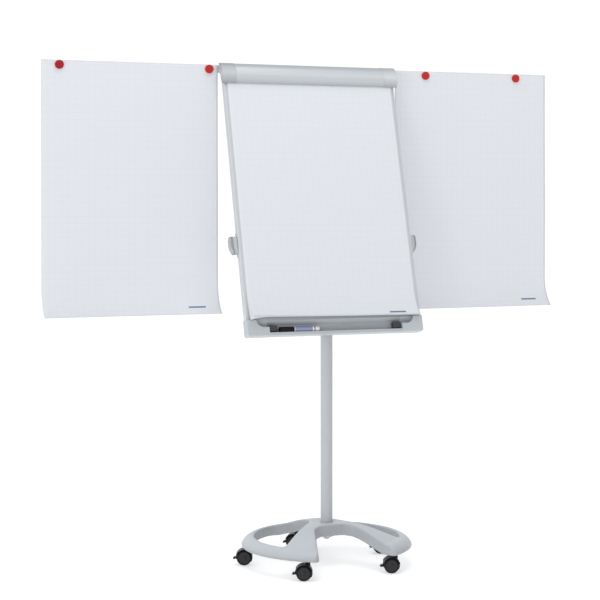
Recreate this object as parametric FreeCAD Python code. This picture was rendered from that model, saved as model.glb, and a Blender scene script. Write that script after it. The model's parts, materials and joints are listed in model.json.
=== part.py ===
"""Mobile flipchart easel: ring base on five casters, bent column, leaning board that slides on it,
clamp bar with a paper pad, pen tray and two swing-out side arms that each hold a sheet of paper.

Millimetres. +X is the board's right as its reader sees it, -Y is the reader's side, +Z is up.
While a piece is drawn, the column's axis on the floor is (0, 0, 0). The last step moves
everything so that the row's origin is the middle of the whole object's footprint.

Board pieces are drawn upright in the board's own axes: x across, y into the board (0 is its
front plane) and z up its slope from the tray's lower front edge. lean() sets them in place.
"""
import FreeCAD, Part
import math
import os

V = FreeCAD.Vector

# ---- driving dimensions ----
LEAN = 15.2              # board's backward lean, degrees
BOARD_FOOT = V(0, -96, 868)   # lower front edge of the board in the standing frame
BOARD_HALF = 352         # half the board's width over its side profiles
BOARD_DEPTH = 25
SIDE_WIDTH = 16          # front width of a side profile
PAPER_WIDTH = 680
PAD_LENGTH = 976
PAD_THICK = 4
SHEET_THICK = 0.4

BASE_RADIUS = 320
RING_INNER = 272
BASE_UNDER = 68          # underside of the ring
HUB_TOP = 158
HUB_UNDER = 114
CASTER_CIRCLE = 294
CASTER_ANGLES = (90, 162, 234, 306, 18)
CASTER_TRAIL_TURN = (150, 158, 158, 161, 166)   # which way each caster trails, degrees from +X

TUBE_RADIUS = 22.5
TUBE_WALL = 2
TUBE_FOOT = 121
TUBE_BEND_RADIUS = 250
TUBE_BACK = 71           # tube axis behind the board's front plane
TUBE_END = 830           # tube's upper end, up the slope

TRAY_TOP = 57.7
TRAY_LIP = 11
CORNER_WIDTH = 85
SHOULDER_Z = 32         # the slope under the pad runs on into the tray's corners down to here
SHOULDER_BEND = 30
HINGE_Y = 14
HINGE_Z = 1047
KNUCKLE_R = 6.5
ROD_R = 3
RUN = 0.05               # radial clearance of running fits
SHAFT_Y = 38
SHAFT_Z = 346
SHAFT_R = 5

PIN_X = 334              # side arm pivots, standing frame
PIN_Y = 222
PIN_R = 3
ARM_LOW = 1846
ARM_HIGH = 1874
ARM_FACE = 215           # front face of an arm's bar
ARM_REACH = 988
ARM_THICK = 3
SHEET_TOP = 1876
SHEET_DROP = 940         # height of a hanging sheet, curl included
SHEET_CURL_LENGTH = 125  # paper length that curls forward at the lower edge
SHEET_INNER = {"left": 357, "right": 384}
MAGNET_X = {"left_outer": -970, "left_inner": -392, "right_inner": 518, "right_outer": 926}
MAGNET_R = 16.5
MAGNET_THICK = 8
MAGNET_Z = 1859

WHEEL_R = 28
WHEEL_WIDTH = 16
TRAIL = 15
HOOD_R = 32.5
STEM_R = 5.5

MARKER_LEFT = -225
MARKER_CAP = 57
MARKER_RIGHT = -68


# ---- helpers ----
def box(x0, x1, y0, y1, z0, z1):
    return Part.makeBox(x1 - x0, y1 - y0, z1 - z0, V(x0, y0, z0))


def rod(start, end, radius):
    line = end - start
    return Part.makeCylinder(radius, line.Length, start, line)


def fuse(shapes):
    joined = shapes[0]
    for shape in shapes[1:]:
        joined = joined.fuse(shape)
    return joined.removeSplitter()


def cut(shape, tools):
    for tool in tools:
        shape = shape.cut(tool)
    return shape


def x_prism(outline, x0, x1):
    """Outline of (y, z) corners, carried along X from x0 to x1."""
    corners = [V(x0, y, z) for y, z in outline]
    wire = Part.makePolygon(corners + corners[:1])
    return Part.Face(wire).extrude(V(x1 - x0, 0, 0))


def z_prism(outline, z0, z1):
    corners = [V(x, y, z0) for x, y in outline]
    wire = Part.makePolygon(corners + corners[:1])
    return Part.Face(wire).extrude(V(0, 0, z1 - z0))


def edges_along(shape, direction, test):
    """Straight edges of a shape that run along a direction and whose middle passes a test."""
    picked = []
    for edge in shape.Edges:
        if not isinstance(edge.Curve, (Part.Line, Part.LineSegment)):
            continue
        run = edge.Vertexes[-1].Point - edge.Vertexes[0].Point
        along = run.Length > 0 and abs(run.normalize().dot(direction)) > 0.999
        if along and test(edge.CenterOfMass):
            picked.append(edge)
    return picked


def mirror_x(shape):
    return shape.mirror(V(0, 0, 0), V(1, 0, 0))


def lean(shape):
    moved = shape.copy()
    moved.rotate(V(0, 0, 0), V(1, 0, 0), -LEAN)
    moved.translate(BOARD_FOOT)
    return moved


def lean_point(point):
    turned = FreeCAD.Rotation(V(1, 0, 0), -LEAN).multVec(point)
    return turned + BOARD_FOOT


def lean_direction(direction):
    return FreeCAD.Rotation(V(1, 0, 0), -LEAN).multVec(direction)


def polar(radius, angle, z=0):
    turn = math.radians(angle)
    return V(radius * math.cos(turn), radius * math.sin(turn), z)


# ---- base ----
BASE_TOP_CURVE = ((34, 158), (70, 157.5), (115, 151), (165, 140), (215, 125), (RING_INNER, 108))
BASE_UNDER_CURVE = ((44, HUB_UNDER), (110, 108), (165, 96), (215, 81), (262, BASE_UNDER))
BASE_RIM = ((RING_INNER, 108), (301, 100), (BASE_RADIUS, 76))
BASE_WALL = 6
HUB_RADIUS = 54          # solid middle of the casting
STEM_BOSS_R = 11


def spline_through(points):
    curve = Part.BSplineCurve()
    curve.interpolate([V(r, 0, z) for r, z in points])
    return curve.toShape()


def turned(edges):
    """Solid turned about Z from a closed half section, its seam towards the reader."""
    face = Part.Face(Part.Wire(Part.__sortEdges__(edges)))
    solid = face.revolve(V(0, 0, 0), V(0, 0, 1), 360)
    solid.rotate(V(0, 0, 0), V(0, 0, 1), -90)
    return solid


def base_form():
    """The casting before its openings are cut: hub, arched arms and ring."""
    rim = [V(r, 0, z) for r, z in BASE_RIM]
    foot = [rim[2], V(BASE_RADIUS - 4, 0, BASE_UNDER), V(262, 0, BASE_UNDER)]
    return turned([
        Part.makeLine(V(0, 0, HUB_TOP), V(34, 0, HUB_TOP)),
        spline_through(BASE_TOP_CURVE),
        Part.Arc(*rim).toShape(),
        Part.makeLine(foot[0], foot[1]),
        Part.makeLine(foot[1], foot[2]),
        spline_through(BASE_UNDER_CURVE),
        Part.makeLine(V(44, 0, HUB_UNDER), V(0, 0, HUB_UNDER)),
        Part.makeLine(V(0, 0, HUB_UNDER), V(0, 0, HUB_TOP)),
    ])


def grown(prism):
    """An opening's prism made wider all round by the casting's wall."""
    ends = [face for face in prism.Faces if face.BoundBox.ZLength < 0.01]
    widest = max(ends, key=lambda face: face.Area)
    wall = widest.makeOffset2D(BASE_WALL).extrude(V(0, 0, 400))
    wall.translate(V(0, 0, -200))
    return wall


def base_hollow():
    """Room under the casting's top skin: open below, shut round the hub and the caster stems."""
    skin = [(r, z - BASE_WALL) for r, z in BASE_TOP_CURVE[1:]]
    low = BASE_UNDER - 10
    inner = [V(HUB_RADIUS, 0, low), V(HUB_RADIUS, 0, skin[0][1]), V(skin[0][0], 0, skin[0][1])]
    outer = [V(skin[-1][0], 0, skin[-1][1]), V(BASE_RADIUS - BASE_WALL - 2, 0, 84)]
    foot = V(BASE_RADIUS - BASE_WALL - 2, 0, low)
    room = turned([
        Part.makeLine(inner[0], inner[1]),
        Part.makeLine(inner[1], inner[2]),
        spline_through(skin),
        Part.makeLine(outer[0], outer[1]),
        Part.makeLine(outer[1], foot),
        Part.makeLine(foot, inner[0]),
    ])
    opening = side_opening()
    walls = [grown(prism) for prism in (opening, mirror_x(opening), front_opening())]
    bosses = [Part.makeCylinder(STEM_BOSS_R, 120, polar(CASTER_CIRCLE, turn, 50)) for turn in CASTER_ANGLES]
    ribs = []
    for turn in CASTER_ANGLES:
        rib = box(HUB_RADIUS - 5, CASTER_CIRCLE, -1.5, 1.5, 50, 160)
        rib.rotate(V(0, 0, 0), V(0, 0, 1), turn)
        ribs.append(rib)
    return cut(room, walls + bosses + ribs)


def side_opening():
    """The left opening between ring and arms, as an upright prism."""
    low = 40
    ring_front = polar(RING_INNER, 213, low)
    hub_front = V(-68, 8, low)
    hub_back = V(-44, 62, low)
    ring_back = polar(RING_INNER, 106, low)
    edges = [
        Part.makeLine(ring_front, hub_front),
        Part.makeLine(hub_front, hub_back),
        Part.makeLine(hub_back, ring_back),
        Part.Arc(ring_back, polar(RING_INNER, 160, low), ring_front).toShape(),
    ]
    prism = Part.Face(Part.Wire(edges)).extrude(V(0, 0, 160))
    for corner, radius in ((ring_front, 12), (hub_front, 14), (hub_back, 14), (ring_back, 55)):
        def near(point, corner=corner):
            return math.hypot(point.x - corner.x, point.y - corner.y) < 2
        prism = prism.makeFillet(radius, edges_along(prism, V(0, 0, 1), near))
    return prism


def front_outline(z, half_inner, half_outer, inner_y, radius):
    """Outline of the front opening at one height: a wedge with rounded inner corners."""
    slab = z_prism(((-half_outer, -340), (half_outer, -340), (half_inner, inner_y), (-half_inner, inner_y)),
                   z, z + 1)
    slab = slab.makeFillet(radius, edges_along(slab, V(0, 0, 1), lambda point: point.y > -100))
    floor = min(slab.Faces, key=lambda face: face.CenterOfMass.z)
    return floor.OuterWire


def front_opening():
    """The opening between the front legs, its walls drawn back towards the top."""
    low = front_outline(40, 54, 162, -63, 48)
    high = front_outline(200, 82, 200, -58, 62)
    return Part.makeLoft([low, high], True, True)


def base_plan():
    """Everything inside the casting's outline as seen from above, as an upright prism."""
    disc = Part.makeCylinder(BASE_RADIUS + 5, 160, V(0, 0, 40))
    opening = side_opening()
    plan = cut(disc, [opening, mirror_x(opening), front_opening()])
    toes = [edge for edge in plan.Edges if edge.BoundBox.ZLength > 100 and edge.CenterOfMass.y < -250]
    return plan.makeFillet(26, toes)


def facing(face):
    """Upward share of a face's outward normal at its middle."""
    u0, u1, v0, v1 = face.ParameterRange
    return face.normalAt((u0 + u1) / 2, (v0 + v1) / 2).z


def under_rims(shape):
    """Chains of edges where the upright walls meet the underside."""
    found = []
    for edge in shape.Edges:
        sides = [facing(face) for face in shape.ancestorsOfType(edge, Part.Face)]
        if len(sides) == 2 and min(sides) < -0.3 and min(abs(side) for side in sides) < 0.02:
            found.append(edge)
    return Part.sortEdges(found)


def eased_below(shape, radius):
    """Rounds the lower rims of the two side openings."""
    for chain in under_rims(shape):
        middles = [edge.CenterOfMass for edge in chain]
        if min(middle.y for middle in middles) < -200:
            continue
        edges = [edge for edge in shape.Edges
                 if any((edge.CenterOfMass - middle).Length < 0.05 for middle in middles)]
        shape = shape.makeFillet(radius, edges)
    return shape


def base_casting():
    body = eased_below(base_form().common(base_plan()), 3)
    socket = Part.makeCylinder(TUBE_RADIUS + RUN, 60, V(0, 0, TUBE_FOOT))
    stud = Part.makeCylinder(5.5, 30, V(0, 0, HUB_UNDER - 5))
    stems = [Part.makeCylinder(STEM_R + RUN, 29, polar(CASTER_CIRCLE, turn, BASE_UNDER - 1))
             for turn in CASTER_ANGLES]
    return cut(body, [base_hollow(), socket, stud] + stems)


def hub_plate():
    plate = Part.makeCylinder(28, 9, V(0, 0, HUB_UNDER - 9.2))
    lug = Part.makeCylinder(17, 5, V(0, 0, HUB_UNDER - 14.2))
    hole = Part.makeCylinder(5.5, 30, V(0, 0, HUB_UNDER - 20))
    return fuse([plate, lug]).cut(hole)


def hub_bolts():
    """One long bolt up into the tube's foot plug and three short screws round it."""
    head = Part.makeCylinder(9, 6, V(0, 0, HUB_UNDER - 20.3))
    shank = Part.makeCylinder(5, 24, V(0, 0, HUB_UNDER - 14.3))
    solids = [head.fuse(shank)]
    for turn in (30, 150, 270):
        solids.append(Part.makeCylinder(3, 2.2, polar(22.5, turn, HUB_UNDER - 11.5)))
    return Part.makeCompound(solids)


# ---- column ----
def column_path():
    """Tube axis: upright, one bend, then parallel to the board."""
    half = math.radians(LEAN / 2)
    slope_start = lean_point(V(0, TUBE_BACK, 0))
    slope = lean_direction(V(0, 0, 1))
    rise = -slope_start.y / slope.y
    corner = slope_start + slope * rise
    tangent = TUBE_BEND_RADIUS * math.tan(half)
    bend_low = corner - V(0, 0, tangent)
    bend_high = corner + slope * tangent
    outward = (V(0, 0, -1) + slope).normalize()
    bulge = TUBE_BEND_RADIUS / math.cos(half) - TUBE_BEND_RADIUS
    bend_mid = corner + outward * bulge
    end = slope_start + slope * TUBE_END
    return [V(0, 0, TUBE_FOOT + 0.3), bend_low, bend_mid, bend_high, end]


def swept(radius, path):
    foot, low, mid, high, end = path
    wire = Part.Wire([
        Part.makeLine(foot, low),
        Part.Arc(low, mid, high).toShape(),
        Part.makeLine(high, end),
    ])
    ring = Part.Wire(Part.makeCircle(radius, foot, V(0, 0, 1)))
    return wire.makePipeShell([ring], True, True)


def column_tube():
    path = column_path()
    return swept(TUBE_RADIUS, path).cut(swept(TUBE_RADIUS - TUBE_WALL, path))


def column_cap():
    plug = Part.makeCylinder(TUBE_RADIUS - TUBE_WALL - 0.1, 18, V(0, TUBE_BACK, TUBE_END - 18))
    cover = Part.makeCylinder(TUBE_RADIUS, 4, V(0, TUBE_BACK, TUBE_END + 0.1))
    cover = cover.makeFillet(2.5, [cover.Edges[0]])
    return lean(plug.fuse(Part.makeCylinder(12, 1, V(0, TUBE_BACK, TUBE_END - 0.5))).fuse(cover))


# ---- casters ----
def caster_pieces():
    """One caster at the origin: stem axis on Z, floor at z = 0, trailing along +X."""
    axle_z = WHEEL_R
    hub = V(TRAIL, 0, axle_z)
    inner = 5.6
    outer = inner + WHEEL_WIDTH

    def disc(radius, y0, y1):
        return rod(hub + V(0, y0, 0), hub + V(0, y1, 0), radius)

    web = disc(HOOD_R - 1, -5, 5).cut(box(TRAIL + 8, 60, -6, 6, -10, axle_z - 6))
    web = web.cut(box(-40, 80, -6, 6, -10, 12))
    shell = disc(HOOD_R, -outer - 1, outer + 1).cut(disc(HOOD_R - 3.2, -outer - 2, outer + 2))
    shell = shell.cut(box(-60, 80, -40, 40, -10, axle_z + 8))
    shell = shell.cut(box(TRAIL + 26, 80, -40, 40, -10, axle_z + 14))
    collar = Part.makeCylinder(9, 15.5, V(0, 0, BASE_UNDER - 16))
    stem = Part.makeCylinder(STEM_R, 26, V(0, 0, BASE_UNDER - 1))
    housing = fuse([web, shell, collar, stem])
    pocket = box(TRAIL + 12, 80, -2.5, 2.5, 0, 50)
    pivot = V(TRAIL + 19, 0, axle_z + 3)
    pivot_hole = rod(pivot + V(0, -6, 0), pivot + V(0, 6, 0), 1.5 + RUN)
    axle_hole = disc(4 + RUN, -6, 6)
    room = [disc(WHEEL_R + 1, 5.05, outer + 0.6), disc(WHEEL_R + 1, -outer - 0.6, -5.05)]
    housing = cut(housing, room + [pocket, pivot_hole, axle_hole])

    wheels = []
    for side in (1, -1):
        wheel = disc(WHEEL_R, *sorted((side * inner, side * outer)))
        rims = [e for e in wheel.Edges if isinstance(e.Curve, Part.Circle)]
        wheel = wheel.makeFillet(3, rims)
        dish = disc(20, *sorted((side * (outer - 2), side * (outer + 2))))
        boss = disc(7, *sorted((side * (outer - 3), side * (outer - 0.6))))
        wheels.append(wheel.cut(dish).fuse(boss).cut(disc(4, -30, 30)))
    axle = disc(3.99, -outer + 1, outer - 1)
    wheel_set = Part.makeCompound(wheels + [axle])

    arm = x_z_plate(((14, -2), (14, 7), (30, 8), (33, 2), (33, -4), (22, -3)), hub, 2.2)
    pad = x_z_plate(((33.3, 3.5), (40, 1), (42, -3), (39, -5), (33.2, -4.5)), hub, 10)
    bridge = x_z_plate(((29, 1.5), (35, 1), (35, -3), (29, -3.4)), hub, 2.2)
    pin = rod(pivot + V(0, -4.8, 0), pivot + V(0, 4.8, 0), 1.5)
    lever = fuse([arm, pad, bridge, pin])
    return {"housing": housing, "wheels": wheel_set, "brake": lever}


def x_z_plate(outline, centre, half_width):
    """Outline of (x, z) corners about a centre, half_width thick each way along Y."""
    corners = [centre + V(x, -half_width, z) for x, z in outline]
    wire = Part.makePolygon(corners + corners[:1])
    return Part.Face(wire).extrude(V(0, 2 * half_width, 0))


def casters():
    pieces = {}
    pattern = caster_pieces()
    for number, (angle, trail) in enumerate(zip(CASTER_ANGLES, CASTER_TRAIL_TURN), start=1):
        for name, shape in pattern.items():
            placed = shape.copy()
            placed.rotate(V(0, 0, 0), V(0, 0, 1), trail)
            placed.translate(polar(CASTER_CIRCLE, angle))
            pieces[f"caster_{number}_{name}"] = placed
    return pieces


# ---- board frame ----
def whiteboard_panel():
    return box(-343.6, 343.6, 4.1, 16.1, 62, 984.6)


def side_profile():
    """Right-hand profile: a 16 x 25 extrusion with the panel's groove and a hollow chamber."""
    outer = box(BOARD_HALF - SIDE_WIDTH, BOARD_HALF, 0, BOARD_DEPTH, 58.2, 1011.8)
    outer = outer.makeFillet(2.5, edges_along(outer, V(0, 0, 1), lambda p: p.x > 350))
    groove = box(330, 344, 4, 16.3, 50, 1020)
    chamber = box(338, 349.8, 18.4, 22.8, 50, 1020)
    slot = box(346, 349.8, 2.2, 16.4, 50, 1020)
    return cut(outer, [groove, chamber, slot])


HINGE_SEGMENTS = 9
HINGE_SPAN = 300


def hinge_spans(moving):
    """X ranges of the hinge knuckles, fixed and moving ones taking turns."""
    step = 2 * HINGE_SPAN / HINGE_SEGMENTS
    spans = []
    for index in range(HINGE_SEGMENTS):
        if (index % 2 == 1) == moving:
            start = -HINGE_SPAN + index * step
            spans.append((start + 0.25, start + step - 0.25))
    return spans


def knuckle(x0, x1, radius):
    return rod(V(x0, HINGE_Y, HINGE_Z), V(x1, HINGE_Y, HINGE_Z), radius)


def top_profile():
    half = BOARD_HALF - SIDE_WIDTH - 0.2
    body = box(-half, half, 0, BOARD_DEPTH, 985, 1040)
    chamber = box(-half - 1, half + 1, 2.5, BOARD_DEPTH - 2.5, 988, 1037)
    pieces = [body.cut(chamber)]
    for x0, x1 in hinge_spans(moving=False):
        web = box(x0, x1, HINGE_Y - KNUCKLE_R, HINGE_Y + KNUCKLE_R, 1039.5, HINGE_Z)
        pieces.append(web.fuse(knuckle(x0, x1, KNUCKLE_R)))
    profile = fuse(pieces).cut(knuckle(-half - 1, half + 1, ROD_R + RUN))
    pin_holes = [rod(V(x, -1, 1022), V(x, 6, 1022), 3.1) for x in (-150, 150)]
    return cut(profile, pin_holes)


def pad_pins():
    """Two headed pins that the pad's punched holes hang on."""
    pins = []
    for x in (-150, 150):
        shank = rod(V(x, 2.4, 1022), V(x, -7.5, 1022), 3)
        head = rod(V(x, -6, 1022), V(x, -8, 1022), 5)
        pins.append(lean(shank.fuse(head)))
    return Part.makeCompound(pins)


def bottom_profile():
    half = BOARD_HALF - SIDE_WIDTH - 0.2
    body = box(-half, half, 0, BOARD_DEPTH, 58, 80)
    groove = box(-half - 1, half + 1, 4, 16.3, 61.8, 90)
    chamber = box(-half - 1, half + 1, 18.5, 22.8, 60, 78)
    return cut(body, [groove, chamber])


def tray_outline():
    """Tray section without its scoop: front lip, back wall and the slope under the pad."""
    return ((-12, 0.8), (-11.2, 0), (BOARD_DEPTH, 0), (BOARD_DEPTH, TRAY_TOP), (0.5, TRAY_TOP),
            (14, 41), (14, 12), (-9, 12), (-9.4, TRAY_LIP), (-12, TRAY_LIP))


def pen_tray():
    half = BOARD_HALF - CORNER_WIDTH - 0.2
    body = x_prism(tray_outline(), -half, half)
    scoop_low = rod(V(-half - 1, 1.5, 26), V(half + 1, 1.5, 26), 15.5)
    scoop = scoop_low.common(box(-half - 1, half + 1, -9.4, 14, 0, 26))
    under = box(-half - 1, half + 1, -9, 13.5, 2.4, 7.6)
    behind = box(-half - 1, half + 1, 17, BOARD_DEPTH - 2.4, 2.4, 55.3)
    return cut(body, [scoop, under, behind])


def tray_stops():
    """Dark rubber stops that close the two ends of the scoop."""
    edge = BOARD_HALF - CORNER_WIDTH - 0.4
    stop = box(edge - 34, edge, -2, 13.7, 17, 38)
    stop = stop.cut(rod(V(edge - 50, 1.5, 26), V(edge + 1, 1.5, 26), 3))
    return Part.makeCompound([lean(stop), lean(mirror_x(stop))])


def tray_corner():
    """Right-hand corner: closes the tray and carries the lower end of the side profile."""
    x0 = BOARD_HALF - CORNER_WIDTH
    body = box(x0, BOARD_HALF + 1.5, -12, 27, 0, 66)
    rounded = edges_along(body, V(0, 1, 0), lambda p: p.x > BOARD_HALF)
    body = body.makeFillet(8, rounded)
    front = edges_along(body, V(1, 0, 0), lambda p: p.y < -11)
    body = body.makeFillet(4, front)
    profile_room = box(BOARD_HALF - SIDE_WIDTH - 0.3, BOARD_HALF + 0.3, -0.3, 25.3, 58, 70)
    upper_room = box(x0 - 1, BOARD_HALF - SIDE_WIDTH + 1, -0.3, 30, 57.9, 70)
    paper_slope = x_prism(((-20, 66.5), (-20, 57), (-12, 58), (-0.2, 67)), x0 - 1, BOARD_HALF + 3)
    hollow = box(x0 + 3, BOARD_HALF - 2, -8.5, 23.5, 3, 54)
    shoulder = x_prism(((-20, SHOULDER_Z), (-20, 70), (-0.5, 70), (0.5, TRAY_TOP), (14, 41), (14, SHOULDER_Z)),
                       x0 - 1, x0 + 60)
    bend_x = x0 + 19
    bend_z = SHOULDER_Z + SHOULDER_BEND
    bend = Part.makeCylinder(SHOULDER_BEND, 60, V(bend_x, -30, bend_z), V(0, 1, 0))
    sweep = fuse([
        box(x0 - 1, bend_x, -30, 30, SHOULDER_Z, bend_z),
        box(x0 - 1, bend_x + SHOULDER_BEND, -30, 30, bend_z, 80),
        bend,
    ])
    shoulder = shoulder.common(sweep)
    hollow = hollow.cut(fuse([box(0, 400, -9, 4, 0, 3), box(x0, x0 + 64, -9, 18, 12, 60)]))
    return cut(body, [profile_room, upper_room, hollow, shoulder, paper_slope])


def top_corner():
    """Right-hand end piece on top of the side profile, just inside the clamp bar's cap."""
    body = box(BOARD_HALF - SIDE_WIDTH + 0.2, BOARD_HALF + 4.6, 0.2, 27, 1012, 1041)
    outside = edges_along(body, V(0, 0, 1), lambda p: p.x > BOARD_HALF)
    body = body.makeFillet(4, outside)
    top = edges_along(body, V(1, 0, 0), lambda p: p.z > 1040)
    return body.makeFillet(3, top)


def cross_rails():
    half = BOARD_HALF - SIDE_WIDTH - 0.2
    rails = []
    for z in (392, 604):
        rail = box(-half, half, 16.4, BOARD_DEPTH, z, z + 30)
        rails.append(lean(rail.cut(box(-half - 1, half + 1, 18.2, 23.2, z + 2, z + 28))))
    return Part.makeCompound(rails)


# ---- clamp bar ----
# Front of the clamp bar from hinge to lip: (y, z) and the outward direction there.
CLAMP_FRONT = (
    (HINGE_Y, HINGE_Z + KNUCKLE_R, 0, 1),
    (-9.5, 1040, -0.72, 0.69),
    (-21.5, 1015, -1, 0),
    (-21.3, 990, -0.99, -0.1),
    (-8.8, 968.5, -0.8, -0.6),
)


def clamp_face(x, growth):
    """Two arcs down the clamp bar's front, moved outwards by growth, with their end points."""
    points = [V(x, y + growth * out_y, z + growth * out_z) for y, z, out_y, out_z in CLAMP_FRONT]
    arcs = [Part.Arc(*points[:3]).toShape(), Part.Arc(*points[2:]).toShape()]
    return arcs, points[0], points[-1]


def clamp_shell(x0, x1, outside, inside):
    outer, outer_top, outer_lip = clamp_face(x0, outside)
    inner, inner_top, inner_lip = clamp_face(x0, inside)
    ends = [Part.makeLine(outer_top, inner_top), Part.makeLine(outer_lip, inner_lip)]
    wire = Part.Wire(Part.__sortEdges__(outer + inner + ends))
    return Part.Face(wire).extrude(V(x1 - x0, 0, 0))


def filled(arcs, corners, x0, x1):
    """Solid from x0 to x1, bounded by joined arcs and by straight lines through the corners."""
    lines = [Part.makeLine(a, b) for a, b in zip(corners, corners[1:])]
    return Part.Face(Part.Wire(Part.__sortEdges__(arcs + lines))).extrude(V(x1 - x0, 0, 0))


CAP_START = 305
CAP_END = 361


def clamp_cover():
    shell = clamp_shell(-CAP_START, CAP_START, 0, -3)
    pieces = [shell] + [knuckle(x0, x1, KNUCKLE_R) for x0, x1 in hinge_spans(moving=True)]
    cover = fuse(pieces)
    gaps = [knuckle(x0 - 0.5, x1 + 0.5, KNUCKLE_R + 0.5) for x0, x1 in hinge_spans(moving=False)]
    ends = [knuckle(-CAP_START - 1, -HINGE_SPAN, KNUCKLE_R + 0.5),
            knuckle(HINGE_SPAN, CAP_START + 1, KNUCKLE_R + 0.5)]
    return cut(cover, gaps + ends + [knuckle(-400, 400, ROD_R + RUN)])


def clamp_cap():
    """Right-hand cap of the clamp bar: a slightly proud sleeve with a closed end."""
    start = CAP_START + 0.2
    arcs, top, lip = clamp_face(start, 1)
    back = [V(start, y, z) for y, z in ((-2.5, 967), (5, 990), (9, 1034))]
    body = filled(arcs, [lip] + back + [top], start, CAP_END)
    arcs, top, lip = clamp_face(start - 1, -3)
    behind = [V(start - 1, y, z) for y, z in ((lip.y, 950), (40, 950), (40, 1070), (top.y, 1070))]
    room = filled(arcs, [lip] + behind + [top], start - 1, CAP_END - 3)
    return cut(body, [room, knuckle(300, CAP_END - 3.5, KNUCKLE_R + 0.5)])


def hinge_rod():
    return knuckle(-HINGE_SPAN, HINGE_SPAN, ROD_R)


# ---- slide behind the board ----
GUIDE_HEIGHTS = {"lower": (325, 378), "upper": (598, 640)}


SCREW_PLACES = [(x, z) for x in (-47, 47) for z in (346, 407, 560, 619)]


def guide_block(which):
    z0, z1 = GUIDE_HEIGHTS[which]
    block = box(-38, 38, 28.4, 103, z0, z1)
    block = block.makeFillet(12, edges_along(block, V(0, 0, 1), lambda p: p.y > 100))
    bore = Part.makeCylinder(24.6, z1 - z0 + 2, V(0, TUBE_BACK, z0 - 1))
    tools = [bore]
    if which == "lower":
        tools.append(rod(V(-60, SHAFT_Y, SHAFT_Z), V(60, SHAFT_Y, SHAFT_Z), SHAFT_R + RUN))
        tools.append(box(-9, 9, 28, 52, SHAFT_Z - 11, SHAFT_Z + 11))
    return lean(cut(block, tools))


def guide_liners():
    """Plastic bushes in the two blocks that run on the tube."""
    liners = []
    for which, (z0, z1) in GUIDE_HEIGHTS.items():
        ring = Part.makeCylinder(24.5, z1 - z0, V(0, TUBE_BACK, z0))
        ring = ring.cut(Part.makeCylinder(TUBE_RADIUS + 0.08, 80, V(0, TUBE_BACK, z0 - 5)))
        if which == "lower":
            ring = ring.cut(box(-9, 9, 28, 52, SHAFT_Z - 11, SHAFT_Z + 11))
        liners.append(lean(ring))
    return Part.makeCompound(liners)


def spine_plate():
    plate = box(-56, 56, 25.2, 28.2, 318, 648)
    tools = [box(-9, 9, 20, 30, SHAFT_Z - 11, SHAFT_Z + 11), box(-26, 26, 20, 30, 392, 584)]
    tools += [rod(V(x, 20, z), V(x, 30, z), 2.6) for x, z in SCREW_PLACES]
    return lean(cut(plate, tools))


def spine_screws():
    return Part.makeCompound([lean(rod(V(x, 28.3, z), V(x, 30.6, z), 4)) for x, z in SCREW_PLACES])


def shaft_bearing():
    """Right-hand foot that carries the cross shaft on the back of the side profile."""
    outline = ((25.2, -48), (29, -48), (33, -20), (33, 20), (29, 48), (25.2, 48))
    foot = x_prism([(y, SHAFT_Z + z) for y, z in outline], 322, 352)
    boss = rod(V(322, SHAFT_Y, SHAFT_Z), V(352, SHAFT_Y, SHAFT_Z), 11)
    boss = boss.cut(box(300, 400, 0, 25.2, 300, 400))
    return fuse([foot, boss]).cut(rod(V(300, SHAFT_Y, SHAFT_Z), V(400, SHAFT_Y, SHAFT_Z), SHAFT_R + RUN))


def shaft_bearings():
    right = shaft_bearing()
    return Part.makeCompound([lean(right), lean(mirror_x(right))])


def release_shaft():
    """Cross shaft with the eccentric that locks the lower block to the tube."""
    shaft = rod(V(-368, SHAFT_Y, SHAFT_Z), V(368, SHAFT_Y, SHAFT_Z), SHAFT_R)
    cam = rod(V(-8, SHAFT_Y + 1, SHAFT_Z), V(8, SHAFT_Y + 1, SHAFT_Z), 8)
    return lean(shaft.fuse(cam))


def release_handle():
    """Right-hand grip on the shaft's end: flat above, cut back below, with a finger dish."""
    low, high = SHAFT_Z - 34, SHAFT_Z + 34
    outline = ((353, low + 3), (353, high), (377, high), (377, low + 16), (366, low))
    corners = [V(x, 10, z) for x, z in outline]
    grip = Part.Face(Part.makePolygon(corners + corners[:1])).extrude(V(0, 38, 0))
    grip = grip.makeFillet(6, edges_along(grip, V(0, 1, 0), lambda p: p.x > 360))
    front = [edge for edge in grip.Edges if edge.BoundBox.YMax < 10.1 and edge.CenterOfMass.x > 354]
    back = [edge for edge in grip.Edges if edge.BoundBox.YMin > 47.9 and edge.CenterOfMass.x > 354]
    grip = grip.makeFillet(3, front + back)
    dish = Part.makeSphere(60, V(377 + 55, 29, SHAFT_Z))
    bore = rod(V(350, SHAFT_Y, SHAFT_Z), V(368.5, SHAFT_Y, SHAFT_Z), SHAFT_R + 0.02)
    return cut(grip, [dish, bore])


# ---- paper ----
def curled_outline(front, back, high, curl_start, radius, turn):
    """Closed wire, in the x = 0 plane, of paper that hangs straight and then curls forward."""
    centre = V(0, front - radius, curl_start)

    def on_arc(r, angle):
        return centre + V(0, r * math.cos(angle), -r * math.sin(angle))

    r_front = radius
    r_back = radius + (back - front)
    edges = [
        Part.makeLine(V(0, front, high), V(0, front, curl_start)),
        Part.Arc(on_arc(r_front, 0), on_arc(r_front, turn / 2), on_arc(r_front, turn)).toShape(),
        Part.makeLine(on_arc(r_front, turn), on_arc(r_back, turn)),
        Part.Arc(on_arc(r_back, turn), on_arc(r_back, turn / 2), on_arc(r_back, 0)).toShape(),
        Part.makeLine(V(0, back, curl_start), V(0, back, high)),
        Part.makeLine(V(0, back, high), V(0, front, high)),
    ]
    return Part.Wire(edges)


PAD_TOP = 1038
PAD_CURL_LENGTH = 112
PAD_CURL_RADIUS = 136


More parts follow.
